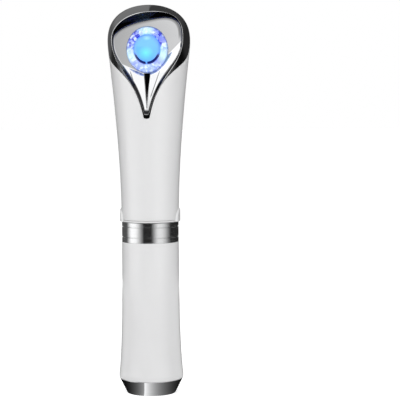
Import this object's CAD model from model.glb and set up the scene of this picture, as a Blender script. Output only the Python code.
import math

import bpy
import numpy as np
from mathutils import Matrix, Vector


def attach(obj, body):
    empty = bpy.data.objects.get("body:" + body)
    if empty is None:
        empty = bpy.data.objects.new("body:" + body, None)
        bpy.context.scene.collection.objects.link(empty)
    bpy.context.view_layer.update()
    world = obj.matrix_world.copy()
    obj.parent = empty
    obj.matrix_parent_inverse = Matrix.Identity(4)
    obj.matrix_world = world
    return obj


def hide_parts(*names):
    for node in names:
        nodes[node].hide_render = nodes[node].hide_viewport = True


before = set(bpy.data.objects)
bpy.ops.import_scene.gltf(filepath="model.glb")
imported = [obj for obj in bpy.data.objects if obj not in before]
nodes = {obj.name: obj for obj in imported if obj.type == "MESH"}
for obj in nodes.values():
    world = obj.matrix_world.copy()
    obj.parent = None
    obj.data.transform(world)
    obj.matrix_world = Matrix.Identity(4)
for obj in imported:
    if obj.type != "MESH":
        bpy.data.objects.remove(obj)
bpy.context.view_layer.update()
mm = 0.001

# the wand's body: a waist that swells by a power of the height, closed by a superelliptic dome
wand = {
    "length": 145.0, "waistR": 10.76,
    "headR": 15.5, "earZ": 69.9, "swellZ": 131.0, "swellPower": 1.57,
    "domeZ": 126.4, "domePower": 2.7, "domeRoot": 2.06,
}
# how fine the skins are, and the angle in degrees from which an edge is sharp
skin = {"turn": 224, "sharp": 32, "newtonSteps": 14, "halvings": 40, "curve": 1500}


def swollenR(z):
    # radius before rounding off: the waist plus the head's excess times a power of the height share
    share = np.clip((z - wand["earZ"]) / (wand["swellZ"] - wand["earZ"]), 0, None)
    return wand["waistR"] + (wand["headR"] - wand["waistR"]) * share ** wand["swellPower"]


def bodyR(z, inset=0.0):
    # radius of the upper body: the swollen radius times a superelliptic factor in the dome
    top = wand["length"] - inset
    share = np.clip((z - wand["domeZ"]) / (top - wand["domeZ"]), 0, 1)
    return (swollenR(z) - inset) * (1 - share ** wand["domePower"]) ** (1 / wand["domeRoot"])


def bodyGradient(p):
    # value and slope of the body's form: radius over swollen radius to the root's power, plus the
    # dome share to the dome's power, less one
    rho = np.maximum(np.hypot(p[..., 0], p[..., 1]), 1e-9)
    z = p[..., 2]
    span = wand["length"] - wand["domeZ"]
    share = np.clip((z - wand["domeZ"]) / span, 0, None)
    s = swollenR(z)
    ds = (swollenR(z + 0.01) - swollenR(z - 0.01)) / 0.02
    root, power = wand["domeRoot"], wand["domePower"]
    ratio = rho / s
    value = ratio ** root + share ** power - 1
    dRho = root * ratio ** (root - 1) / s
    dz = power * share ** (power - 1) / span - root * ratio ** root / s * ds
    slope = np.stack([dRho * p[..., 0] / rho, dRho * p[..., 1] / rho, dz], -1)
    return value, slope


def unit(v):
    return v / np.maximum(np.linalg.norm(v, axis=-1, keepdims=True), 1e-12)


def below(p, depth):
    # points moved inwards by a depth, square to the body
    _, slope = bodyGradient(p)
    return p - unit(slope) * depth


def ontoBody(p, inset=0.0):
    # carries points to the body along its slope by Newton steps, then inwards by inset
    for _ in range(skin["newtonSteps"]):
        value, slope = bodyGradient(p)
        p = p - slope * (value / np.maximum((slope ** 2).sum(-1), 1e-12))[..., None]
    return below(p, inset) if inset else p


def ease(x):
    # smooth step from 0 to 1: three squares less two cubes
    x = np.clip(x, 0, 1)
    return x * x * (3 - 2 * x)


def slopeOf(angle):
    return math.tan(math.radians(angle))


def bezier(p, t):
    # cubic curve through its ends, pulled by the two points between
    p = np.asarray(p, float)
    t = np.asarray(t, float)[:, None]
    return (1 - t) ** 3 * p[0] + 3 * (1 - t) ** 2 * t * p[1] + 3 * (1 - t) * t * t * p[2] + t ** 3 * p[3]


def along(points, n):
    # n points at even shares of the length of a polyline
    step = np.linalg.norm(np.diff(points, axis=0), axis=1)
    run = np.concatenate([[0], np.cumsum(step)])
    want = run[-1] * np.linspace(0, 1, n)
    return np.stack([np.interp(want, run, points[:, k]) for k in range(points.shape[1])], -1)


def grownCurve(p, grow):
    # a cubic curve moved sideways by grow, to the left of its heading
    c = bezier(p, np.linspace(0, 1, skin["curve"]))
    d = unit(np.gradient(c, axis=0))
    return c + grow * np.stack([-d[:, 1], d[:, 0]], -1)


def corner(before, edge, after, size, steps):
    # rounds the edge between two directions by a quadratic curve, one loop for each step
    p = edge + unit(before - edge) * size
    q = edge + unit(after - edge) * size
    return [(1 - t) ** 2 * p + 2 * (1 - t) * t * edge + t * t * q for t in np.linspace(0, 1, steps)]


def polar(r, a, z):
    return np.stack(np.broadcast_arrays(r * np.cos(a), r * np.sin(a), z), -1)


def fullTurn(steps):
    return np.linspace(0, 2 * np.pi, steps, endpoint=False)


def newObject(name, data):
    obj = bpy.data.objects.new(name, data)
    bpy.context.scene.collection.objects.link(obj)
    return obj


def newMesh(name, verts, faces, smooth=True):
    # points are in millimetres
    mesh = bpy.data.meshes.new(name)
    mesh.from_pydata((np.asarray(verts, float) * mm).tolist(), [], faces)
    mesh.polygons.foreach_set("use_smooth", [smooth] * len(mesh.polygons))
    mesh.validate()
    mesh.update()
    return newObject(name, mesh)


def gridFaces(rows, cols, wrapRows=False):
    # quads over a grid whose rows are closed loops
    i = np.arange(rows if wrapRows else rows - 1)[:, None]
    j = np.arange(cols)[None, :]
    here, there = i * cols, ((i + 1) % rows) * cols
    following = (j + 1) % cols
    quads = np.stack([here + j, here + following, there + following, there + j], -1)
    return quads.reshape(-1, 4).tolist()


def writeLevel(obj, name, values):
    # one number at each point, for the materials to read
    attribute = obj.data.attributes.new(name, "FLOAT", "POINT")
    attribute.data.foreach_set("value", np.asarray(values, np.float32).ravel())


def pointsOf(mesh):
    co = np.empty(len(mesh.vertices) * 3)
    mesh.vertices.foreach_get("co", co)
    return co.reshape(-1, 3)


def faceOutwards(obj):
    # turns the whole skin if its enclosed volume, a sum of triple products, comes out negative
    mesh = obj.data
    mesh.calc_loop_triangles()
    corners = np.empty(len(mesh.loop_triangles) * 3, int)
    mesh.loop_triangles.foreach_get("vertices", corners)
    a, b, c = pointsOf(mesh)[corners.reshape(-1, 3)].transpose(1, 0, 2)
    if (a * np.cross(b, c)).sum() < 0:
        mesh.flip_normals()
    mesh.update()


def sharpen(obj):
    obj.data.set_sharp_from_angle(angle=math.radians(skin["sharp"]))


def loopSolid(name, loops, wrap=False, smooth=True):
    # closed skin through loops of equal length; fans to their middles close open ends
    loops = np.asarray(loops, float)
    rows, cols = loops.shape[:2]
    verts = loops.reshape(-1, 3)
    faces = gridFaces(rows, cols, wrapRows=wrap)
    if not wrap:
        n = len(verts)
        verts = np.concatenate([verts, [loops[0].mean(0), loops[-1].mean(0)]])
        j = np.arange(cols)
        k = (j + 1) % cols
        last = (rows - 1) * cols
        faces += np.stack([k, j, np.full(cols, n)], -1).tolist()
        faces += np.stack([last + j, last + k, np.full(cols, n + 1)], -1).tolist()
    obj = newMesh(name, verts, faces, smooth)
    faceOutwards(obj)
    if smooth:
        sharpen(obj)
    return obj


def revolve(name, profile, wrap=True):
    # a profile of (radius, height) carried round the wand's axis; unwrapped, it ends on the axis
    r, z = np.asarray(profile, float).T[:, :, None]
    return loopSolid(name, polar(r, fullTurn(skin["turn"]), z), wrap=wrap)


def arcBlock(name, r0, r1, z0, z1, a0, a1, steps):
    # a rectangle of radius and height carried round part of a turn
    a = np.linspace(a0, a1, steps)[:, None]
    r = np.array([r0, r1, r1, r0])[None, :]
    z = np.array([z0, z0, z1, z1])[None, :]
    return loopSolid(name, polar(r, a, z), smooth=False)


def join(obj, others):
    # several skins as one piece
    name = obj.name
    verts, faces, smooth = [], [], []
    for skinned in [obj] + others:
        data, base = skinned.data, sum(map(len, verts))
        verts.append(pointsOf(data) / mm)
        faces += [[v + base for v in p.vertices] for p in data.polygons]
        smooth += [p.use_smooth for p in data.polygons]
        bpy.data.objects.remove(skinned)
        bpy.data.meshes.remove(data)
    whole = newMesh(name, np.concatenate(verts), faces)
    whole.data.polygons.foreach_set("use_smooth", smooth)
    sharpen(whole)
    return whole


class Nodes:
    # short ways to add to a node tree that ends in one shader
    def __init__(self, owner, shader):
        owner.use_nodes = True
        self.owner, self.tree = owner, owner.node_tree
        self.shader = self.tree.nodes[shader]

    def feed(self, inputs, node=None):
        # sets a node's inputs, else the shader's, to plain values or to sockets that feed them
        for key, value in inputs.items():
            socket = (node or self.shader).inputs[key]
            if isinstance(value, bpy.types.NodeSocket):
                self.tree.links.new(value, socket)
            else:
                socket.default_value = (*value, 1) if socket.type == "RGBA" else value

    def node(self, kind, output, inputs=None, **settings):
        made = self.tree.nodes.new("ShaderNode" + kind)
        for key, value in settings.items():
            setattr(made, key, value)
        self.feed(inputs or {}, made)
        return made.outputs[output]

    def place(self):
        return self.node("TexCoord", "Object")

    def stretched(self, scale):
        return self.node("Mapping", "Vector", {"Vector": self.place(), "Scale": scale})

    def noise(self, size, detail=3.0, rough=0.5, place=None):
        # size is the grain's width in millimetres
        return self.node("TexNoise", "Fac", {
            "Scale": 1 / (size * mm), "Detail": detail, "Roughness": rough, "Vector": place or self.place()})

    def ramp(self, value, stops):
        # a colour ramp; a stop may give a colour or one grey number
        made = self.node("ValToRGB", "Color", {"Fac": value})
        band = made.node.color_ramp.elements
        while len(band) < len(stops):
            band.new(0.5)
        for element, (at, color) in zip(band, stops):
            element.position = at
            element.color = (*color, 1) if isinstance(color, tuple) else (color, color, color, 1)
        return made

    def remap(self, value, low, high, fromLow=0.0, fromHigh=1.0):
        return self.node("MapRange", "Result", {
            "Value": value, "From Min": fromLow, "From Max": fromHigh, "To Min": low, "To Max": high})

    def maths(self, kind, *values):
        return self.node("Math", "Value", dict(enumerate(values)), operation=kind)

    def blend(self, share, a, b):
        return self.node("Mix", 2, {"Factor": share, 6: a, 7: b}, data_type="RGBA")

    def attribute(self, name):
        return self.node("Attribute", "Fac", attribute_name=name)

    def bump(self, height, strength, depth):
        # depth in millimetres
        return self.node("Bump", "Normal", {"Strength": strength, "Distance": depth * mm, "Height": height})


def newFinish(name, color, **inputs):
    f = Nodes(bpy.data.materials.new(name), "Principled BSDF")
    f.feed({"Base Color": color, **inputs})
    return f


def shades(color, spread):
    # a darker and a lighter version of a colour
    return [tuple(max(0, c * (1 - spread)) for c in color), tuple(min(1, c * (1 + spread)) for c in color)]


def darkTo(color, spread):
    # ramp stops from a darker version of a colour to the colour itself
    return [(0.3, shades(color, spread)[0]), (0.7, color)]


def plainFinish(name, color, roughness, spread=0.06, grain=0.4, metallic=0.0):
    # a surface with a fine grain in its colour, its gloss and its relief
    f = newFinish(name, color, Metallic=metallic)
    n = f.noise(grain)
    f.feed({
        "Base Color": f.ramp(n, list(zip((0.3, 0.7), shades(color, spread)))),
        "Roughness": f.remap(f.noise(grain * 4), roughness * 0.85, roughness * 1.2, 0.3, 0.7),
        "Normal": f.bump(n, 0.5, 0.01)})
    return f.owner


whiteLook = {
    "color": (0.86, 0.86, 0.865), "spread": 0.012, "patch": 9, "coat": 0.3, "coatRoughness": 0.12,
    "gloss": (0.12, 0.2), "glossGrain": 2.5, "grain": 1.1, "relief": 0.004,
}


def whitePlastic():
    # a soft tint in large patches under a thin clear coat
    k = whiteLook
    f = newFinish("glossWhitePlastic", k["color"], IOR=1.5)
    f.feed({
        "Coat Weight": k["coat"], "Coat Roughness": k["coatRoughness"],
        "Base Color": f.ramp(f.noise(k["patch"], 2), darkTo(k["color"], k["spread"])),
        "Roughness": f.remap(f.noise(k["glossGrain"], 3), *k["gloss"], 0.3, 0.7),
        "Normal": f.bump(f.noise(k["grain"], 2), 0.12, k["relief"])})
    return f.owner


chromeLook = {
    "color": (0.80, 0.805, 0.815), "black": (0.018, 0.018, 0.02), "spread": 0.03, "patch": 6,
    "gloss": (0.03, 0.06), "glossGrain": 0.8, "grain": 3.5, "relief": 0.004,
}


def chromePlate():
    # the attribute called shade darkens it towards black chrome
    k = chromeLook
    f = newFinish("mirrorChromePlate", k["color"], Metallic=1.0)
    plate = f.ramp(f.noise(k["patch"], 3), darkTo(k["color"], k["spread"]))
    f.feed({
        "Base Color": f.blend(f.attribute("shade"), plate, k["black"]),
        "Roughness": f.remap(f.noise(k["glossGrain"], 4), *k["gloss"], 0.3, 0.7),
        "Normal": f.bump(f.noise(k["grain"], 2), 0.10, k["relief"])})
    return f.owner


ringLook = {
    "color": (0.78, 0.785, 0.79), "spread": 0.07, "squeeze": (0.25, 0.25, 16), "gloss": (0.06, 0.15),
    "relief": 0.006,
}


def turnedChrome():
    # fine lines round the ring, from a noise squeezed hard along Z
    k = ringLook
    f = newFinish("turnedChromePlate", k["color"], Metallic=1.0)
    lines = f.noise(1.0, 3, 0.6, f.stretched(k["squeeze"]))
    f.feed({
        "Base Color": f.ramp(lines, darkTo(k["color"], k["spread"])),
        "Roughness": f.remap(lines, *k["gloss"], 0.3, 0.7), "Normal": f.bump(lines, 0.16, k["relief"])})
    return f.owner


face = {"forward": 7.2, "lean": 8.0, "lensZ": 128.4}
lean = math.radians(face["lean"])
faceAxes = np.array([[1, 0, 0], [0, math.sin(lean), math.cos(lean)], [0, -math.cos(lean), math.sin(lean)]])
faceOrigin = np.array([0, -face["forward"], face["lensZ"]])


def raised(uv, h):
    # flat points with their heights
    return np.concatenate([uv, np.reshape(h * np.ones(len(uv)), (-1, 1))], -1)


def onFace(p):
    # from the face's own frame, across, up and out, to the wand's
    return faceOrigin + np.asarray(p, float) @ faceAxes


def faceCoords(f):
    # offset and height from the lens's centre, and a distance from a spot measured in its two radii
    x, z = (f.node("SeparateXYZ", axis, {"Vector": f.place()}) for axis in "XZ")
    z = f.maths("SUBTRACT", z, face["lensZ"] * mm)

    def away(cx, cz, rx, rz):
        dx = f.maths("DIVIDE", f.maths("SUBTRACT", x, cx * mm), rx * mm)
        dz = f.maths("DIVIDE", f.maths("SUBTRACT", z, cz * mm), rz * mm)
        return f.maths("SQRT", f.maths("ADD", f.maths("MULTIPLY", dx, dx), f.maths("MULTIPLY", dz, dz)))
    return x, z, away


# turn is the share of a full turn about the lens, from its left through its foot
crystalLook = {
    "base": (0.86, 0.93, 1.0), "ior": 1.54, "strength": 0.3, "clear": 0.2,
    "white": (0.62, 0.86, 1.0), "lavender": (0.34, 0.42, 0.95), "pale": (0.42, 0.56, 0.98),
    "blue": (0.17, 0.25, 0.92), "violet": (0.30, 0.34, 0.95), "deep": (0.012, 0.02, 0.5),
    "spark": (0.85, 0.97, 1.0), "outline": (0.06, 0.12, 0.3),
    "turns": [
        (0.0, "white"), (0.07, "white"), (0.13, "lavender"), (0.25, "pale"), (0.37, "lavender"),
        (0.44, "white"), (0.52, "white"), (0.57, "violet"), (0.64, "blue"), (0.68, "lavender"),
        (0.73, "white"), (0.79, "white"), (0.85, "violet"), (0.90, "blue"), (0.96, "lavender"), (1.0, "white")],
    "darkTurns": [
        (0.0, 0.3), (0.1, 0), (0.46, 0), (0.54, 0.6), (0.57, 1), (0.66, 1),
        (0.7, 0.1), (0.78, 0.1), (0.84, 0.9), (0.94, 0.9), (1.0, 0.3)],
    "facet": 0.85, "facetStretch": (1, 0.3, 1), "sparkShare": 0.75, "sparkFrom": (0.62, 0.85),
    "darkShare": 0.95, "darkFrom": (0.62, 0.66), "rim": (0, 0, 7.6, 8.45), "rimShare": 0.75,
}


def cutCrystal():
    # the colour goes round with the bearing from the lens: white at the top and at both sides, blue
    # between them, lavender below; single facets are lighter, or deep blue where darkTurns allows
    k = crystalLook
    f = newFinish("cutCrystal", k["base"], IOR=k["ior"])
    x, z, away = faceCoords(f)
    turn = f.remap(f.maths("ARCTAN2", z, x), 0, 1, -math.pi, math.pi)
    around = f.ramp(turn, [(at, k[name]) for at, name in k["turns"]])
    size, stretch = k["facet"] * mm, k["facetStretch"]
    cell = f.node("TexVoronoi", "Color", {"Scale": 1 / size, "Vector": f.stretched(stretch)})
    red, green = (f.node("SeparateColor", part, {"Color": cell}) for part in ("Red", "Green"))
    light = f.remap(red, 0, k["sparkShare"], *k["sparkFrom"])
    dark = f.maths("MULTIPLY", f.remap(green, 0, k["darkShare"], *k["darkFrom"]), f.ramp(turn, k["darkTurns"]))
    facets = f.blend(dark, f.blend(light, around, k["spark"]), k["deep"])
    color = f.blend(f.remap(away(*k["rim"]), 0, k["rimShare"], 0.95, 1.0), facets, k["outline"])
    f.feed({
        "Base Color": color, "Emission Color": color, "Emission Strength": k["strength"],
        "Transmission Weight": k["clear"], "Roughness": f.remap(f.noise(0.6, 2), 0.0, 0.06, 0.45, 0.8)})
    return f.owner


# spots are across, up and the two radii, from the lens's centre
lensLook = {
    "body": (0.13, 0.44, 1.0), "glow": (0.16, 0.72, 1.0), "patch": (0.38, 0.78, 1.0),
    "edge": (0.15, 0.28, 0.95), "navy": (0.004, 0.008, 0.12), "strength": 0.4, "coat": 0.6, "gloss": (0.05, 0.1),
    "glowSpot": (-0.3, -1.2, 3.0, 2.6), "patchSpot": (0, 4.3, 1.7, 1.1), "rim": (0, 0, 4.8, 5.4),
    "arcSpot": (0, 0.3, 4.8, 5.4), "arcEdge": (0.85, 0.89), "arcTop": (-2.2, -0.9),
    "breakX": -0.1, "breakHalf": (0.15, 0.4),
}


def litLens():
    # sky blue that brightens towards a spot below the middle and a patch near the top, with a navy
    # arc along its lower edge that breaks at the middle
    k = lensLook
    f = newFinish("litLens", k["body"], IOR=1.5)
    x, z, away = faceCoords(f)
    glow = f.blend(f.remap(away(*k["glowSpot"]), 1, 0), k["body"], k["glow"])
    patch = f.blend(f.remap(away(*k["patchSpot"]), 0.7, 0), glow, k["patch"])
    edge = f.blend(f.remap(away(*k["rim"]), 0, 0.55, 0.72, 1.0), patch, k["edge"])
    low = f.remap(z, 1, 0, *(h * mm for h in k["arcTop"]))
    fromBreak = f.maths("ABSOLUTE", f.maths("SUBTRACT", x, k["breakX"] * mm))
    beside = f.remap(fromBreak, 0, 1, *(h * mm for h in k["breakHalf"]))
    outer = f.remap(away(*k["arcSpot"]), 0, 1, *k["arcEdge"])
    arc = f.maths("MULTIPLY", f.maths("MULTIPLY", low, beside), outer)
    color = f.blend(arc, edge, k["navy"])
    f.feed({
        "Base Color": color, "Emission Color": color, "Emission Strength": k["strength"],
        "Coat Weight": k["coat"], "Roughness": f.remap(f.noise(0.7, 2), *k["gloss"], 0.3, 0.7)})
    return f.owner


print("materials ready to use")

# the seam between shell and bezel: a drop seen from the front, a side curve in depth and height
seam = {
    "frontX": 15.3, "frontTop": 129.9, "shoulder": 10.2, "pullX": 5.0, "pullZ": 123.3,
    "tipHalf": 1.0, "tipZ": 103.2, "tipRound": 0.3,
    "side": [[7.4, 144.25], [0.6, 142.0], [1.4, 130.5], [-3.4, 125.6]],
    "gap": 0.1, "edgeRound": 0.14,
}


def seamHalf(grow):
    # right half of the seam on the body, from the tip in front to the middle of the top behind:
    # the drop shape's front curve until it meets the side curve, then the side curve
    s = seam
    front = [[s["frontX"], s["frontTop"]], [s["frontX"], s["frontTop"] - s["shoulder"]],
             [s["pullX"], s["pullZ"]], [s["tipHalf"], s["tipZ"] + s["tipRound"] * s["tipHalf"]]]
    xf, zf = grownCurve(front, grow)[::-1].T
    ys, zs = grownCurve(s["side"], grow)[::-1].T
    yf = -np.sqrt(np.maximum(bodyR(zf) ** 2 - xf ** 2, 0))
    inFront = (zf < zs[0]) | (yf < np.interp(zf, zs, ys))
    stop = np.argmin(inFront) if not inFront.all() else len(zf)
    frontPart = np.stack([xf, yf, zf], -1)[:stop]
    xs = np.sqrt(np.maximum(bodyR(zs) ** 2 - ys ** 2, 0))
    keep = (zs > zf[stop - 1]) & (bodyR(zs) > np.abs(ys))
    sidePart = np.stack([xs, ys, zs], -1)[keep]
    top = ontoBody(np.array([[0.0, sidePart[-1][1] + 0.15, sidePart[-1][2]]]))[0]
    close = np.linspace(sidePart[-1], [0, top[1], top[2]], 40)[1:]
    low = s["tipZ"] - grow
    tip = [0, -bodyR(np.array(low)), low]
    start = np.linspace(tip, frontPart[0], 12)[:-1]
    whole = ontoBody(np.concatenate([start, frontPart, sidePart, close]))
    whole[0, 0] = whole[-1, 0] = 0
    return whole, len(start) + len(frontPart)


# the recess in the face's own frame: its top is tilted by turn; the ogee has two pulls and a tip;
# two facets climb from creases, with a V between them and a groove down the tail
bezel = {
    "halfWidth": 12.5, "shoulder": 3.2, "top": 11.0, "turn": 10.5, "squareness": (2.5, 3.2),
    "pulls": ((12.5, -6.0), (3.9, -7.7)), "tip": (0.7, -22.5), "spread": 0.035, "reach": 14.0,
    "valleyStart": -9.6, "creaseAngle": 34.5, "facetClimb": 30.0, "valleyRise": 1.6, "valleySpread": 20.0,
    "grooveDepth": 0.8, "grooveSpread": 42.0, "grooveClimb": 10.0, "grooveStart": -8.86, "grooveEnd": -21.5,
    "dishWidth": 1.1, "dishRise": 0.045, "dishShade": 0.5,
    "creases": (((-6.4, -7.5), (-2.4, -18.5)), ((4.9, -7.5), (1.2, -18.5))),
    "creaseWidth": 0.13, "creaseDepth": 0.05, "creaseShade": 0.8, "creaseFade": 1.5, "soft": 0.07,
    "rimRound": 0.45, "footRound": 0.3, "seatDepth": 0.5, "seatWidth": 15.4, "oval": 1.12,
    "guideHole": 11.2, "faceWall": 1.6, "rimShade": 0.85, "grooveDark": 1.3, "grooveSoft": 0.25,
    "wallShade": (1, 1, 1, 1, 0.98, 0.95),
    "columns": 560, "lowerShare": 0.52, "stripRows": 46, "floorRows": 110,
}


def recessHalf(side):
    # one half of the recess at the face's level, from its tip up the ogee and over the tilted
    # superelliptic top, whose height is a share of its rise plus the tilt times the distance across
    b = bezel
    w = b["halfWidth"]
    ogee = bezier([[w, b["shoulder"]], *b["pulls"], b["tip"]], np.linspace(1, 0, 600)) * [side, 1]
    u = side * w * np.cos(np.radians(np.linspace(0, 90, 400)))[1:]
    power = b["squareness"][1 if side > 0 else 0]
    share = (1 - np.abs(u / w) ** power) ** (1 / power)
    rise = b["top"] - b["shoulder"] + slopeOf(b["turn"]) * u
    top = np.stack([u, b["shoulder"] + rise * share], -1)
    start = np.linspace([0, b["tip"][1]], ogee[0], 8)[:-1]
    whole = np.concatenate([start, ogee, top])
    whole[0, 0] = whole[-1, 0] = 0
    return whole, len(start) + len(ogee)


def softMax(a, b, soft):
    # the larger of two heights, with the corner between them rounded
    return 0.5 * (a + b + np.sqrt((a - b) ** 2 + soft ** 2))


def creaseBell(u, v):
    # a bell curve across each fine crease of the tail, fading in and out at its two ends
    bell = 0
    fade = bezel["creaseFade"]
    for (u0, v0), (u1, v1) in bezel["creases"]:
        du, dv = u1 - u0, v1 - v0
        length = math.hypot(du, dv)
        run = ((u - u0) * du + (v - v0) * dv) / length
        off = ((u - u0) * dv - (v - v0) * du) / length
        across = np.exp(-(off / bezel["creaseWidth"]) ** 2)
        bell = bell + across * ease(run / fade) * ease((length - run) / fade)
    return bell


def floorHeight(u, v):
    # the flat face; below its two creases a facet climbs at each side, capped by a V that leads to the
    # tip, and a groove runs along the middle
    b = bezel
    climb = b["valleyRise"] / (b["valleyStart"] - b["tip"][1])
    past = v - b["valleyStart"]
    height = np.zeros_like(u)
    for side in (1, -1):
        turn = math.radians(b["creaseAngle"] + side * b["turn"])
        facet = slopeOf(b["facetClimb"]) * (side * u * math.sin(turn) - past * math.cos(turn))
        vee = side * u * slopeOf(b["valleySpread"]) * math.hypot(1, climb) - past * climb
        height = softMax(height, -softMax(-facet, -vee, b["soft"]), b["soft"])
    height = height - b["creaseDepth"] * creaseBell(u, v)
    down = v - b["grooveStart"]
    spread = slopeOf(b["grooveSpread"]) * np.abs(u) / math.cos(math.radians(b["grooveClimb"]))
    groove = spread - b["grooveDepth"] - slopeOf(b["grooveClimb"]) * down
    # past its start the groove's floor is lifted clear of the face
    return -softMax(-height, -groove - 6 * np.clip(down / 0.2, 0, 1), b["soft"] / 2)


def spreadOut(uv, h):
    # recess walls spread a little with their height above the face
    return raised(uv * (1 + bezel["spread"] * h)[:, None], h)


def wallTop(uv):
    # where each wall line leaves the body, by halving the height
    low, high = np.zeros(len(uv)), np.full(len(uv), bezel["reach"])
    for _ in range(skin["halvings"]):
        mid = (low + high) / 2
        value, _ = bodyGradient(onFace(spreadOut(uv, mid)))
        inside = value < 0
        low, high = np.where(inside, mid, low), np.where(inside, high, mid)
    return (low + high) / 2


def grooveShade(p):
    # black where the distance from the middle is under a half width that shrinks towards the tip
    b = bezel
    half = b["grooveDark"] * np.clip((p[:, 1] - b["grooveEnd"]) / (b["grooveStart"] - b["grooveEnd"]), 0, 1)
    dark = ease((half - p[:, 0]) / b["grooveSoft"]) * ease((p[:, 0] + half) / b["grooveSoft"])
    return dark * (p[:, 1] < b["grooveStart"] + 0.1) * (half > 0.02)


def makeBezel():
    # one closed skin: lip behind the seam, body, rim, recess wall, floor to the crystal's seat, guide
    # hole and back, all through loops of the same number of columns
    b = bezel
    n = b["columns"] // 2 + 1
    share = int(n * b["lowerShare"])

    def pair(points, count):
        return np.concatenate([along(points[:count], share), along(points[count - 1:], n - share + 1)[1:]])

    def recessSide(side):
        uv, count = recessHalf(side)
        return pair(raised(uv, wallTop(uv)), count)

    right = pair(*seamHalf(0.0))
    seamLine = np.concatenate([right, right[-2:0:-1] * [-1, 1, 1]])
    outline = np.concatenate([recessSide(1), recessSide(-1)[-2:0:-1]])
    uv, h = outline[:, :2], outline[:, 2]
    toCentre = np.arctan2(uv[:, 1] / b["oval"], uv[:, 0])
    ray = np.stack([np.cos(toCentre), np.sin(toCentre)], -1)
    oval = b["seatWidth"] / 2 * ray * [1, b["oval"]]
    inTop = ease((uv[:, 1] - b["shoulder"]) / 3)
    floorRoom = np.linalg.norm(oval - uv, axis=1)

    def floorPoint(k):
        # across the floor from its foot to the crystal's seat, dished up a little along the top's wall
        p = uv * (1 - k) + oval * k
        dish = b["dishRise"] * inTop * np.clip(1 - k * floorRoom / b["dishWidth"], 0, 1)
        return onFace(raised(p, floorHeight(*p.T) + dish))

    edge, base = onFace(spreadOut(uv, h)), floorPoint(0)
    t = np.linspace(0, 1, b["stripRows"])[:, None, None]
    strip = ontoBody(seamLine * (1 - t) + edge * t)
    loops = [ontoBody(seamLine, 1.6)]
    loops += corner(ontoBody(seamLine, 1.0), seamLine, strip[2], seam["edgeRound"], 4)
    loops += list(strip[1:-2])
    lowRim = b["rimShade"] * ease((3 - uv[:, 1]) / 4)
    shade = [lowRim] * len(loops)
    rim = np.minimum(b["rimRound"], 0.4 * np.linalg.norm(edge - base, axis=1))[:, None]
    loops += corner(strip[-3], edge, base, rim, 6)
    shade += [lowRim, 0, 0, 0.5, 1, 1]
    loops += [edge * (1 - s) + base * s for s in np.linspace(0.15, 0.85, len(b["wallShade"]))]
    shade += b["wallShade"]
    foot = np.minimum(b["footRound"], 0.4 * np.linalg.norm(floorPoint(1.0) - base, axis=1))[:, None]
    loops += corner(edge, base, floorPoint(0.05), foot, 4)
    shade += [0.7, 0.7 - 0.1 * inTop, 0.5 + (b["dishShade"] - 0.5) * inTop, b["dishShade"] * inTop]
    for k in np.linspace(0, 1, b["floorRows"])[2:-1]:
        loops.append(floorPoint(k))
        p = uv * (1 - k) + oval * k
        lines = b["creaseShade"] * creaseBell(*p.T)
        band = b["dishShade"] * inTop * ease(1.3 - k * floorRoom / b["dishWidth"])
        shade.append(np.maximum(grooveShade(p), lines) + band)
    under = onFace(raised(oval, -b["seatDepth"]))
    loops += corner(floorPoint(0.98), floorPoint(1.0), under, 0.06, 3)
    hole = b["guideHole"] / 2 * ray
    loops += [under] + [onFace(raised(hole, -depth)) for depth in (b["seatDepth"], b["faceWall"])]
    # back of the face; behind the tail it follows the floor
    tail = uv[:, 1] < -8
    back = np.where(tail[:, None], uv * [0.9, 0.95], uv * 0.9)
    drop = np.where(tail, np.minimum(floorHeight(*uv.T), 1), 0) - b["faceWall"]
    loops.append(onFace(raised(back, drop)))
    obj = loopSolid("bezelSkin", loops, wrap=True)
    shade += [0] * (len(loops) - len(shade))
    writeLevel(obj, "shade", [level + 0 * lowRim for level in shade])
    return obj


bezelSkin = makeBezel()
print("bezel", len(bezelSkin.data.polygons))

# the white upper shell over the collar's band and its two ears
shell = {
    "wall": 1.8, "columns": 480, "rows": 84, "rowsInside": 30, "samples": 6000,
    "earHalf": 4.6, "bandTop": 65.5, "archRise": 4.4, "lip": 0.9, "footZ": 64.85, "footRound": 0.08,
}


def collarTop(theta, grow):
    # height of the collar's top edge at an angle: a low band, and half an ellipse over each ear
    across = np.abs(wand["waistR"] * np.sin(theta)) / (shell["earHalf"] + grow)
    return shell["bandTop"] + grow + shell["archRise"] * np.sqrt(np.clip(1 - across ** 2, 0, 1))


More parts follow.
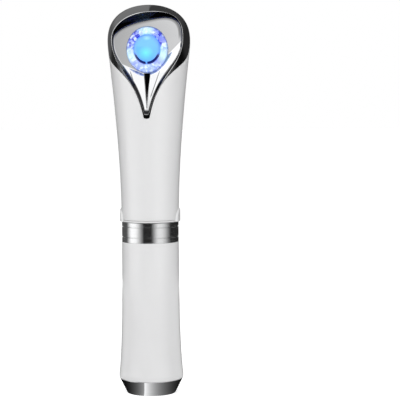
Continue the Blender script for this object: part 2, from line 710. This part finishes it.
def makeShell():
    # columns from the collar's edge to the seam, and back inside
    s = shell
    theta = fullTurn(s["columns"]) - np.pi / 2
    points, _ = seamHalf(seam["gap"])
    angle = np.arctan2(points[:, 1], points[:, 0])
    angle[0], angle[-1] = -np.pi / 2, np.pi / 2
    fold = np.abs(np.angle(np.exp(1j * (theta + np.pi / 2))))
    zTop = np.interp(fold - np.pi / 2, np.maximum.accumulate(angle), points[:, 2])
    zLow = collarTop(theta, seam["gap"])
    zs = np.linspace(60, wand["length"] - 1e-4, s["samples"])

    def columns(z1, rows, inset):
        # rows spread evenly along the body's outline, from the collar's edge to a height
        r = bodyR(zs, inset)
        run = np.concatenate([[0], np.cumsum(np.hypot(np.diff(r), np.diff(zs)))])
        start, end = np.interp(zLow, zs, run), np.interp(z1, zs, run)
        at = start + (end - start) * np.linspace(0, 1, rows)[:, None]
        return polar(np.interp(at, run, r), theta, np.interp(at, run, zs))

    outer = columns(zTop, s["rows"], 0.0)
    inner = columns(np.minimum(zTop, wand["length"] - s["wall"] - 0.3), s["rowsInside"], s["wall"])
    spigotR = wand["waistR"] - s["lip"]
    lip = polar(spigotR, theta, zLow)
    foot = [polar(r, theta, s["footZ"]) for r in (wand["waistR"] - s["wall"], spigotR)]
    loops = corner(lip, outer[0], outer[2], s["footRound"], 3) + list(outer[1:-2])
    loops += corner(outer[-3], outer[-1], below(outer[-1], 1.0), seam["edgeRound"], 4)
    loops += [below(outer[-1], s["wall"])] + list(inner[::-1]) + foot + [lip]
    return loopSolid("shellSkin", loops, wrap=True)


shellSkin = makeShell()
print("shell", len(shellSkin.data.polygons))

collar = {
    "wall": 0.8, "proud": 0.5, "columns": 480, "rows": 30, "soft": 0.7, "footRound": 0.1, "topRound": 0.08,
}


def makeCollar():
    # a band whose ears stand proud: the rise eases in over a soft width from each half ellipse
    c = collar
    theta = fullTurn(c["columns"])
    zLow, zTop = shell["footZ"], collarTop(theta, 0.0)
    z = zLow + (zTop - zLow) * np.linspace(0, 1, c["rows"])[:, None]
    across = wand["waistR"] * np.sin(theta) / shell["earHalf"]
    up = np.clip(z - shell["bandTop"], 0, None) / shell["archRise"]
    rise = ease((1 - np.sqrt(across ** 2 + up ** 2)) * shell["earHalf"] / c["soft"])
    outer = polar(wand["waistR"] + c["proud"] * rise, theta, z)
    top, low = (polar(wand["waistR"] - c["wall"], theta, height) for height in (zTop, zLow))
    loops = corner(low, outer[0], outer[2], c["footRound"], 3) + list(outer[1:-1])
    loops += corner(outer[-3], outer[-1], top, c["topRound"], 3) + [top, low]
    return loopSolid("collarSkin", loops, wrap=True)


collarSkin = makeCollar()
print("collar", len(collarSkin.data.polygons))

handle = {
    "low": 5.9, "rimR": 11.65, "waistR": 10.6, "flare": 1.37, "flareZ": 7.5, "flareLength": 12.6, "top": 57.2,
    "boreR": 8.7, "spigotR": 9.45, "spigotTop": 60.05, "slotHalf": 1.35, "slotLift": 0.15,
    "edge": 0.7, "bevel": 0.12, "rows": 90,
}


def handleR(z):
    # waist radius plus a flare that dies away exponentially above the lower edge
    h = handle
    return h["waistR"] + h["flare"] * np.exp(-np.maximum(0, z - h["flareZ"]) / h["flareLength"])


def makeHandle():
    # the flared tube, and over it the two halves of the spigot between the bayonet's slots
    h = handle
    cornerR, topR = handleR(np.array(h["flareZ"])), handleR(np.array(h["top"]))
    a = np.radians(np.linspace(0, 90, 12))[1:-1]
    lowR = cornerR - (cornerR - h["rimR"]) * (1 - np.sin(a))
    low = np.stack([lowR, h["low"] + h["edge"] * (1 - np.cos(a))], -1)
    z = h["flareZ"] + (h["top"] - h["bevel"] - h["flareZ"]) * np.linspace(0, 1, h["rows"]) ** 1.2
    slotZ = h["top"] + h["slotLift"]
    body = revolve("handleSkin", np.concatenate([
        [[h["boreR"], h["low"]], [h["rimR"] - h["bevel"], h["low"]], [h["rimR"], h["low"] + 0.04]],
        low, np.stack([handleR(z), z], -1),
        [[topR - 0.04, h["top"] - 0.03], [topR - h["bevel"], h["top"]], [h["spigotR"], h["top"]],
         [h["spigotR"], slotZ], [h["boreR"], slotZ]]]))
    slot = math.asin(h["slotHalf"] / h["spigotR"])
    halves = [arcBlock("spigotPart", h["boreR"], h["spigotR"], slotZ - 0.02, h["spigotTop"],
                       slot + side, slot + side + math.pi - 2 * slot, 60) for side in (0, math.pi)]
    return join(body, halves)


ring = {
    "low": 57.2, "height": 7.5, "top": 1.55, "bottom": 1.85, "groove": 0.25, "depth": 0.35, "bulge": 0.012,
    "bevel": 0.05, "socketR": 9.6, "socketDepth": 3.0, "neckR": 8.08, "keyHalf": 1.2, "keyMeanR": 9.2,
    "keyLift": 1.0,
}


def band(z0, z1, r):
    # a band that bulges as a flat parabola between two small rounded edges
    s = np.linspace(0, 1, 15)
    z = z0 + ring["bevel"] + (z1 - z0 - 2 * ring["bevel"]) * s
    out = np.stack([r + ring["bulge"] * (1 - (2 * s - 1) ** 2), z], -1)
    lower, upper = [[r - 0.1, z0], [r - 0.042, z0 + 0.015]], [[r - 0.042, z1 - 0.015], [r - 0.1, z1]]
    return np.concatenate([lower, out, upper])


def makeRing():
    # three bands with two grooves between them, a socket for the spigot and two bayonet keys
    g = ring
    r, z0 = handle["waistR"], g["low"]
    z = [z0, z0 + g["bottom"], z0 + g["bottom"] + g["groove"],
         z0 + g["height"] - g["top"] - g["groove"], z0 + g["height"] - g["top"], z0 + g["height"]]
    socketZ, deep = z0 + g["socketDepth"], r - g["depth"]
    body = revolve("ringSkin", np.concatenate([
        [[g["socketR"], z0]], band(z[0], z[1], r), [[deep, z[1]], [deep, z[2]]], band(z[2], z[3], r),
        [[deep, z[3]], [deep, z[4]]], band(z[4], z[5], r),
        [[g["neckR"], z[5]], [g["neckR"], socketZ], [g["socketR"], socketZ]]]))
    half = math.asin(g["keyHalf"] / g["keyMeanR"])
    keys = [arcBlock("ringKey", handle["boreR"] + 0.15, g["socketR"] + 0.05, z0 + g["keyLift"], socketZ,
                     side - half, side + half, 10) for side in (0, math.pi)]
    return join(body, keys)


cap = {
    "height": 5.9, "baseR": 8.85, "rimR": 11.65, "round": 1.2, "plugR": 8.65, "plugTop": 9.6, "wall": 1.5,
    "floor": 3.6, "grooveZ": 7.75, "grooveHalf": 0.6, "grooveDepth": 1.15, "axisR": 0.02, "plugBevel": 0.2,
}


def makeCap():
    # a cone on a rounded foot, and above it the hollow plug with the seal's groove
    c = cap
    slope = math.atan2(c["rimR"] - c["baseR"], c["height"])
    centreR = c["baseR"] - c["round"] * math.tan(math.pi / 4 - slope / 2)
    a = np.linspace(-math.pi / 2, -slope, 14)
    foot = np.stack([centreR + c["round"] * np.cos(a), c["round"] + c["round"] * np.sin(a)], -1)
    side = np.linspace(foot[-1], [c["rimR"], c["height"] - 0.15], 24)[1:]
    flat = np.linspace([c["axisR"], 0], foot[0], 8)[:-1]
    low, high = c["grooveZ"] - c["grooveHalf"], c["grooveZ"] + c["grooveHalf"]
    plugR, grooveR, boreR = c["plugR"], c["plugR"] - c["grooveDepth"], c["plugR"] - c["wall"]
    return revolve("capSkin", np.concatenate([
        flat, foot, side,
        [[c["rimR"] - 0.04, c["height"] - 0.04], [c["rimR"] - 0.14, c["height"]], [plugR, c["height"]],
         [plugR, low], [grooveR, low], [grooveR, high], [plugR, high],
         [plugR, c["plugTop"] - c["plugBevel"]], [plugR - c["plugBevel"], c["plugTop"]],
         [boreR, c["plugTop"]], [boreR, c["floor"]], [c["axisR"], c["floor"]]]]), wrap=False)


handleSkin, ringSkin, capSkin = makeHandle(), makeRing(), makeCap()
print("handle, ring and cap")

lens = {
    "width": 9.6, "dome": 1.5, "edge": 1.7, "base": 0.75, "flange": 10.3, "flangeTop": 1.1,
    "stem": 3.0, "stemEnd": -3.28, "oval": 1.12, "columns": 128, "rows": 40,
}


def ovalLoop(width, z, steps=lens["columns"], oval=lens["oval"], phase=0.0):
    # an upright oval in the face's frame; phase turns it by a share of a step
    a = (np.arange(steps) + phase) * 2 * np.pi / steps
    return onFace(np.stack([width / 2 * np.cos(a), width / 2 * oval * np.sin(a), np.full(steps, float(z))], -1))


def makeLens():
    # round stem, flange and a dome that is a quarter of an ellipse
    g = lens
    loops = [ovalLoop(g["stem"], g["stemEnd"], oval=1), ovalLoop(g["stem"], g["base"], oval=1),
             ovalLoop(g["flange"], g["base"]), ovalLoop(g["flange"], g["flangeTop"]),
             ovalLoop(g["width"], g["flangeTop"])]
    a = np.radians(np.linspace(0, 89.5, g["rows"]))
    loops += [ovalLoop(g["width"] * math.cos(t), g["edge"] + g["dome"] * math.sin(t)) for t in a]
    return loopSolid("lensSkin", loops)


gem = {"width": 15.2, "hole": 9.9, "facets": 24, "seat": -0.49, "girdle": 0.9, "height": 2.0, "step": 1.25}


def makeCrystal():
    # brilliant cut: upright girdle, two rows of crown facets and a flat table edge; each loop is a
    # width, a height and whether it is turned by half a step
    g = gem
    n = g["facets"]
    crown = (g["width"] + g["hole"]) / 2 + 0.5
    cuts = [
        (g["hole"] + 0.98, g["seat"], 0), (g["width"] - 1.6, g["seat"], 0), (g["width"], 0.25, 1),
        (g["width"], g["girdle"], 0), (crown + 1.3, g["height"] - 0.5, 1), (crown - 0.6, g["height"] - 0.02, 0),
        (g["hole"] + 0.7, g["height"] - 0.1, 1), (g["hole"] + 0.1, g["height"] - 0.6, 0),
        (g["hole"] + 0.1, g["step"] + 0.05, 1), (g["hole"] + 0.98, g["step"], 0)]
    verts = np.concatenate([ovalLoop(width, z, n, phase=turned / 2) for width, z, turned in cuts])
    faces = []
    step = np.arange(n)
    after = (step + 1) % n
    for k, (_, _, here) in enumerate(cuts):
        following = (k + 1) % len(cuts)
        a, aNext, b, bNext = k * n + step, k * n + after, following * n + step, following * n + after
        there = cuts[following][2]
        if here == there:
            cells = [[a, aNext, bNext, b]]
        elif there:
            cells = [[a, aNext, b], [aNext, bNext, b]]
        else:
            cells = [[a, bNext, b], [a, aNext, bNext]]
        for cell in cells:
            faces += np.stack(cell, -1).tolist()
    obj = newMesh("crystalSkin", verts, faces, smooth=False)
    faceOutwards(obj)
    return obj


lensSkin, crystalSkin = makeLens(), makeCrystal()
print("lens and crystal")

white, chrome, turned = whitePlastic(), chromePlate(), turnedChrome()
worn = [
    (shellSkin, "upper_shell", "head_unit", white), (bezelSkin, "head_bezel", "head_unit", chrome),
    (collarSkin, "collar", "head_unit", white), (crystalSkin, "crystal_ring", "head_unit", cutCrystal()),
    (lensSkin, "lens_button", "lens", litLens()), (ringSkin, "trim_ring", "ring", turned),
    (handleSkin, "handle_shell", "lower_handle", white), (capSkin, "tail_cap", "lower_handle", chrome),
]
for obj, node, body, material in worn:
    obj.data.materials.append(material)
    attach(obj, body)
    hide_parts(node)


inner = {}


def dress(color, roughness, pieces, **differences):
    # one look for some inner pieces, each with a material of its own
    for node, name in pieces.items():
        inner[node] = plainFinish(name, color, roughness, **differences)


dress((0.72, 0.73, 0.75), 0.35, {"heater_plate": "heaterAluminium"}, metallic=1.0)
dress((0.6, 0.61, 0.63), 0.3, {
    "head_screws": "screwSteel", "board_screws": "screwSteelSmall", "retaining_clip": "springSteel"}, metallic=1.0)
dress((0.62, 0.63, 0.65), 0.25, {"motor_can": "drawnSteel", "battery_spring": "springWire"}, metallic=1.0)
dress((0.7, 0.71, 0.73), 0.18, {"motor_shaft": "groundSteel"}, metallic=1.0)
dress((0.35, 0.33, 0.3), 0.45, {"eccentric_weight": "sinteredWeight"}, spread=0.15, metallic=0.9)
dress((0.78, 0.6, 0.28), 0.28, {
    "positive_contact": "platedBrass", "negative_contact": "platedBrassRing", "ground_strip": "platedBrassStrip",
}, spread=0.1, metallic=1.0)
dress((0.5, 0.22, 0.1), 0.35, {"boost_coil": "coilWinding"}, spread=0.25, grain=0.2, metallic=0.6)
dress((0.42, 0.32, 0.18), 0.45, {"capacitors": "capacitorCeramic"})
dress((0.02, 0.02, 0.022), 0.55, {"control_chip": "chipEpoxy"})
dress((0.02, 0.16, 0.07), 0.35, {"lamp_board": "boardMask", "main_board": "boardMaskMain"}, spread=0.2)
dress((0.03, 0.05, 0.2), 0.4, {"heat_sensor": "sensorEpoxy"})
dress((0.03, 0.03, 0.035), 0.5, {"mode_switch": "switchPlastic"})
dress((0.04, 0.04, 0.045), 0.45, {"switch_plunger": "plungerPlastic"})
dress((0.72, 0.71, 0.65), 0.5, {"chassis": "naturalNylon", "motor_clip": "naturalNylonClip"}, spread=0.03)
dress((0.70, 0.69, 0.63), 0.5, {"battery_sleeve": "linerNylon"}, spread=0.03)
dress((0.45, 0.03, 0.025), 0.45, {"head_leads": "redInsulation"})
dress((0.02, 0.02, 0.022), 0.45, {"motor_leads": "blackInsulation"})
dress((0.5, 0.05, 0.03), 0.45, {"battery_leads": "redInsulationBattery"})
dress((0.03, 0.03, 0.032), 0.6, {"neck_seal": "sealRubber", "cap_seal": "sealRubberCap"})
dress((0.05, 0.16, 0.24), 0.3, {"battery": "batterySleevePaint"})


def glowing(name, color, roughness, ior, patch, stops, strength):
    # a part that carries or gives light, in patches of a few colours
    f = newFinish(name, color, Roughness=roughness, IOR=ior)
    f.feed({"Emission Color": f.ramp(f.noise(*patch), stops), "Emission Strength": strength})
    return f.owner


# the clear guide is pale violet blue and whiter in patches; the lamps' phosphor shines bluish white
inner["light_guide"] = glowing("lightGuideGlow", (0.6, 0.75, 1.0), 0.25, 1.49, (2.6, 1), [
    (0.35, (0.10, 0.16, 0.95)), (0.5, (0.30, 0.48, 1.0)), (0.62, (0.45, 0.85, 1.0))], 0.25)
inner["lamps"] = glowing("lampPhosphor", (0.9, 0.9, 0.7), 0.4, 1.5, (0.5, 2), [
    (0.3, (0.4, 0.6, 1.0)), (0.7, (0.7, 0.85, 1.0))], 0.8)
for name, material in inner.items():
    mesh = nodes[name].data
    mesh.materials.clear()
    mesh.materials.append(material)
print("finishes on", len(worn) + len(inner), "pieces")

# from here on in metres and degrees
camera = {
    "azimuth": 4.8, "distance": 0.65, "height": 0.12, "focal": 157.3, "aimZ": 0.0718,
    "roll": -0.45, "shiftX": 0.1247, "shiftY": 0.0055,
}


def onBearing(r, bearing, z):
    # points by their bearing from the camera, positive to the picture's right
    a = np.radians(bearing + camera["azimuth"])
    return np.stack(np.broadcast_arrays(r * np.sin(a), -r * np.cos(a), z), -1)


def seenRays(f):
    # 1 for camera, mirror and glass rays, the largest of the three shares, else 0
    names = ("Is Camera Ray", "Is Glossy Ray", "Is Transmission Ray")
    camera, mirror, glass = (f.node("LightPath", name) for name in names)
    return f.maths("MAXIMUM", f.maths("MAXIMUM", camera, mirror), glass)


floor = {"color": (0.86, 0.86, 0.86), "half": 3.0, "lift": 0.65, "patch": 40}


def makeFloor():
    # camera, mirror and glass rays see the floor lifted towards white
    h = floor["half"] / mm
    obj = newMesh("studioFloor", [[-h, -h, 0], [h, -h, 0], [h, h, 0], [-h, h, 0]], [[0, 1, 2, 3]], False)
    f = newFinish("paleFloor", floor["color"], Roughness=0.7)
    f.feed({
        "Specular IOR Level": 0.1, "Base Color": f.ramp(f.noise(floor["patch"], 2), darkTo(floor["color"], 0.01)),
        "Emission Color": (1, 1, 1), "Emission Strength": f.maths("MULTIPLY", seenRays(f), floor["lift"])})
    obj.data.materials.append(f.owner)


def makeWorld(strength):
    # white air: full strength where it is seen, less where it lights
    world = bpy.data.worlds.new("studioAir")
    bpy.context.scene.world = world
    f = Nodes(world, "Background")
    f.feed({"Color": (1, 1, 1), "Strength": f.remap(seenRays(f), strength, 1.0)})


def makeCard(name, loops, level):
    # a card that mirrors see and nothing else does: its light level is written at its points
    obj = newMesh(name, loops.reshape(-1, 3) / mm, gridFaces(*loops.shape[:2]))
    writeLevel(obj, "level", level)
    f = newFinish(name + "Paint", (0, 0, 0), Roughness=1.0)
    f.feed({"Specular IOR Level": 0.0, "Emission Color": (1, 1, 1), "Emission Strength": f.attribute("level")})
    obj.data.materials.append(f.owner)
    obj.visible_camera = obj.visible_diffuse = obj.visible_shadow = obj.visible_transmission = False


# cards that the chrome mirrors, by bearing from the camera and elevation: soft windows between dark
# cards, and in front a grey card for the face and a white one above it
tent = {
    "radius": 0.35, "centreZ": 0.075, "backLeft": 0.10, "backRight": 0.025, "frontDark": 0.02, "darkHalf": 30,
    "upperLift": 1.0, "liftFrom": 20, "liftSoft": 15,
    "windows": [
        {"bearing": -74, "half": 6, "softLeft": 32, "softRight": 44, "level": 1.2, "top": 200},
        {"bearing": 37, "half": 3, "softLeft": 34, "softRight": 54, "level": 0.94, "top": 200},
        {"bearing": 180, "half": 9, "softLeft": 14, "softRight": 14, "level": 0.9, "top": 16},
    ],
    "bandTop": 11, "frontHalf": 50, "frontSoft": 14,
    "grey": {"low": 15, "high": 27, "level": 0.56, "across": 0.08, "up": 0.05, "centre": (-9.6, 18), "reach": (5, 4)},
    "white": {"low": 30, "high": 76, "level": 1.22},
    "roof": {"low": 82, "left": 0.19, "right": 0.11, "change": -25, "soft": 30},
}


def tentLevel(bearing, rise):
    # smooth steps from one level to the next: windows over a dark base, the grey card and the white
    # one in front, and the roof
    t, grey, white, roof = tent, tent["grey"], tent["white"], tent["roof"]
    level = t["backLeft"] + (t["backRight"] - t["backLeft"]) * ease((bearing + 60) / 120)
    level = level * (1 + t["upperLift"] * ease((rise - t["liftFrom"]) / t["liftSoft"]))
    level = np.where(np.abs(bearing) < t["darkHalf"], t["frontDark"], level)
    for w in t["windows"]:
        off = (bearing - w["bearing"] + 180) % 360 - 180
        left = ease((off + w["half"] + w["softLeft"]) / w["softLeft"])
        right = ease((w["half"] + w["softRight"] - off) / w["softRight"])
        level = level + w["level"] * left * right * ease((w["top"] - rise) / 10)
    front = ease((t["frontHalf"] + t["frontSoft"] - np.abs(bearing)) / t["frontSoft"])
    up = ease((rise - t["bandTop"]) / (grey["low"] - t["bandTop"]))
    (midBearing, midRise), (sideReach, upReach) = grey["centre"], grey["reach"]
    across = grey["across"] * np.clip(bearing - midBearing, -sideReach, sideReach)
    along = grey["up"] * np.clip(rise - midRise, -upReach, upReach)
    greyLevel = grey["level"] * (1 + across + along)
    upper = greyLevel + (white["level"] - greyLevel) * ease((rise - grey["high"]) / (white["low"] - grey["high"]))
    level = level + (upper - level) * up * front
    overhead = roof["left"] + (roof["right"] - roof["left"]) * ease((bearing - roof["change"]) / roof["soft"])
    return level + (overhead - level) * ease((rise - white["high"]) / (roof["low"] - white["high"]))


def makeTent():
    # a sphere cut off just above the floor
    bearing = np.linspace(-180, 180, 181)[:-1][None, :]
    rise = np.concatenate([np.linspace(-12, 60, 145), np.linspace(62, 89.5, 12)])[:, None]
    e = np.radians(rise)
    verts = onBearing(tent["radius"] * np.cos(e), bearing, tent["centreZ"] + tent["radius"] * np.sin(e))
    verts[..., 2] = np.maximum(verts[..., 2], 0.003)
    makeCard("reflectorTent", verts, tentLevel(bearing + 0 * e, rise + 0 * bearing))


capCard = {
    "edge": -19.5, "level": 1.1, "flat": 4, "fadeRight": 26.0, "shade": 0.38, "fadeLeft": 19.0,
    "back": 0.7, "backWidth": 16.0, "radii": (0.0089, 0.03), "lift": 0.0001,
}


def makeCapCard():
    # a card on the floor round the tail cap: one sharp edge, an exponential fade to both sides of it,
    # and a bell of light behind
    c = capCard
    bearing = np.linspace(-180, 180, 721)[:-1]
    past = bearing - c["edge"]
    right = c["level"] * np.exp(-np.clip(past - c["flat"], 0, None) / c["fadeRight"])
    left = c["shade"] * np.exp(np.minimum(past, 0) / c["fadeLeft"])
    level = np.where(past > 0, right, left)
    level = level + c["back"] * np.exp(-((np.abs(bearing) - 180) / c["backWidth"]) ** 2)
    loops = onBearing(np.array(c["radii"])[:, None], bearing[None, :], c["lift"])
    makeCard("capReflector", loops, np.stack([level, level]))


floorShade = {
    "inner": 0.036, "outer": 0.33, "rows": 8, "lift": 0.0002, "front": 0.02, "back": 0.75,
    "side": 80, "soft": 30, "stripe": 152, "stripeWidth": 13, "stripeDepth": 0.85,
}


def makeFloorShade():
    # a card on the floor: dark in front, for the recess walls and the lower rim to mirror, and light
    # behind with one dark stripe, a bell curve, to each side
    c = floorShade
    bearing = np.linspace(-180, 180, 145)[:-1]
    away = np.abs(bearing)
    level = c["front"] + (c["back"] - c["front"]) * ease((away - c["side"]) / c["soft"])
    level = level * (1 - c["stripeDepth"] * np.exp(-((away - c["stripe"]) / c["stripeWidth"]) ** 2))
    radii = np.linspace(c["inner"], c["outer"], c["rows"])[:, None]
    makeCard("floorShade", onBearing(radii, bearing[None, :], c["lift"]), np.tile(level, (c["rows"], 1)))


def looking(place, aim):
    return (Vector(aim) - Vector(place)).to_track_quat("-Z", "Y").to_matrix().to_4x4()


# large soft lamps aimed at the wand's middle: name, place and power in watts
light = {
    "world": 0.43, "size": 0.5, "aim": (0, 0, 0.08),
    "lamps": [
        ("keyLamp", (0.02, -0.75, 0.35), 2.9), ("topLamp", (0, -0.1, 0.8), 0.5),
        ("leftLamp", (-0.65, 0.35, 0.25), 0.8), ("rightLamp", (0.65, 0.35, 0.25), 0.8),
    ],
}


def makeLamp(name, place, power):
    # a square area lamp that mirrors don't see
    lamp = bpy.data.lights.new(name, "AREA")
    lamp.shape = "RECTANGLE"
    lamp.size = lamp.size_y = light["size"]
    lamp.energy = power
    obj = newObject(name, lamp)
    obj.matrix_world = Matrix.Translation(Vector(place)) @ looking(place, light["aim"])
    obj.visible_glossy = False


def makeCamera():
    # rolled, because the wand leans in the photograph
    c = camera
    data = bpy.data.cameras.new("photoCamera")
    data.sensor_width = 36
    data.lens = c["focal"]
    data.shift_x, data.shift_y = c["shiftX"], c["shiftY"]
    data.clip_start = 0.01
    obj = newObject("photoCamera", data)
    place = Vector(onBearing(c["distance"], np.array(0.0), c["height"]))
    turn = looking(place, (0, 0, c["aimZ"])) @ Matrix.Rotation(math.radians(c["roll"]), 4, "Z")
    obj.matrix_world = Matrix.Translation(place) @ turn
    bpy.context.scene.camera = obj


makeFloor()
makeWorld(light["world"])
makeTent()
makeCapCard()
makeFloorShade()
for row in light["lamps"]:
    makeLamp(*row)
makeCamera()
bpy.context.scene.view_settings.view_transform = "Standard"
print("studio ready")
